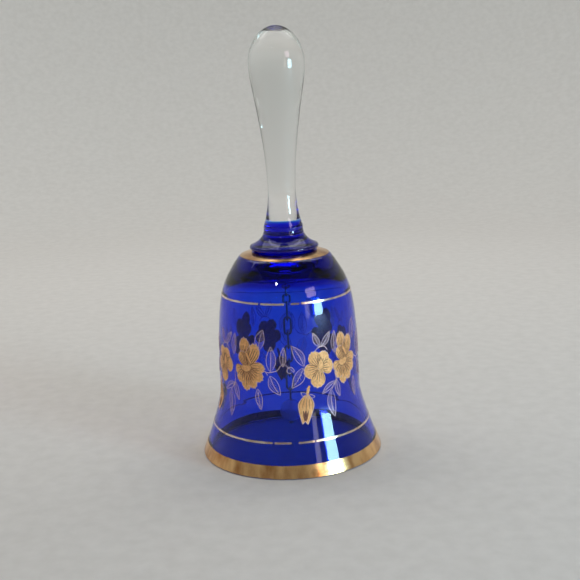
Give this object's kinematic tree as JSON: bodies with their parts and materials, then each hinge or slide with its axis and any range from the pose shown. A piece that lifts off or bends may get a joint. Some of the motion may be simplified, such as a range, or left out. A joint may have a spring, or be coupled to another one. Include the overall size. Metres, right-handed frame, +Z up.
{
  "type": "glass bell",
  "caption": "Glass hand bell with a flared body, a clear drop-shaped handle, gilt bands and flower sprays, and a bead clapper hung inside on a fine chain.",
  "frame": {"origin": "centre of the mouth, in the plane of the flat lip that the bell stands on", "axes": "+Z up along the bell's axis to the top of the handle; -Y faces the viewer; +X to the viewer's right"},
  "size_m": [0.072, 0.072, 0.165],
  "materials": {
    "cobalt_glass": "fire-polished cobalt blue glass, clear all through",
    "clear_glass": "solid fire-polished clear glass",
    "bead_glass": "moulded clear glass",
    "gilding": "bright fired gilding, lightly brushed and rubbed at the edges",
    "matt_gilding": "matt fired gilding with engraved brown petal lines",
    "chain_brass": "drawn brass wire, slightly dulled",
    "plaster": "set white cement"
  },
  "bodies": {
    "bell": {"bell_body": "cobalt_glass", "collar": "cobalt_glass", "handle": "clear_glass", "crown_band": "gilding", "upper_gold_line": "gilding", "lower_gold_line": "gilding", "rim_band": "gilding", "open_flower_1": "matt_gilding", "side_flower_1": "matt_gilding", "bud_1": "matt_gilding", "open_flower_2": "matt_gilding", "side_flower_2": "matt_gilding", "bud_2": "matt_gilding", "open_flower_3": "matt_gilding", "side_flower_3": "matt_gilding", "bud_3": "matt_gilding", "open_flower_4": "matt_gilding", "side_flower_4": "matt_gilding", "bud_4": "matt_gilding", "anchor_plug": "plaster", "anchor_eye": "chain_brass"},
    "link_1": {"chain_link_1": "chain_brass"},
    "link_2": {"chain_link_2": "chain_brass"},
    "link_3": {"chain_link_3": "chain_brass"},
    "link_4": {"chain_link_4": "chain_brass"},
    "link_5": {"chain_link_5": "chain_brass"},
    "link_6": {"chain_link_6": "chain_brass"},
    "link_7": {"chain_link_7": "chain_brass"},
    "link_8": {"chain_link_8": "chain_brass"},
    "clapper": {"clapper_pin": "chain_brass", "clapper_bead": "bead_glass"}
  },
  "joints": [
    {"name": "link_1_swing", "type": "hinge", "parent": "bell", "child": "link_1", "pos_m": [0, 0, 0.0695], "axis": [1, 0, 0], "range_deg": [-22, 22]},
    {"name": "link_2_swing", "type": "hinge", "parent": "link_1", "child": "link_2", "pos_m": [0, 0, 0.06377], "axis": [0, 1, 0], "range_deg": [-25, 25]},
    {"name": "link_3_swing", "type": "hinge", "parent": "link_2", "child": "link_3", "pos_m": [0, 0, 0.05805], "axis": [-1, 0, 0], "range_deg": [-28, 28]},
    {"name": "link_4_swing", "type": "hinge", "parent": "link_3", "child": "link_4", "pos_m": [0, 0, 0.05233], "axis": [0, -1, 0], "range_deg": [-33, 33]},
    {"name": "link_5_swing", "type": "hinge", "parent": "link_4", "child": "link_5", "pos_m": [0, 0, 0.0466], "axis": [1, 0, 0], "range_deg": [-39, 39]},
    {"name": "link_6_swing", "type": "hinge", "parent": "link_5", "child": "link_6", "pos_m": [0, 0, 0.04088], "axis": [0, 1, 0], "range_deg": [-45, 45]},
    {"name": "link_7_swing", "type": "hinge", "parent": "link_6", "child": "link_7", "pos_m": [0, 0, 0.03515], "axis": [-1, 0, 0], "range_deg": [-45, 45]},
    {"name": "link_8_swing", "type": "hinge", "parent": "link_7", "child": "link_8", "pos_m": [0, 0, 0.02942], "axis": [0, -1, 0], "range_deg": [-45, 45]},
    {"name": "clapper_swing", "type": "hinge", "parent": "link_8", "child": "clapper", "pos_m": [0, 0, 0.0237], "axis": [1, 0, 0], "range_deg": [-45, 45]}
  ]
}
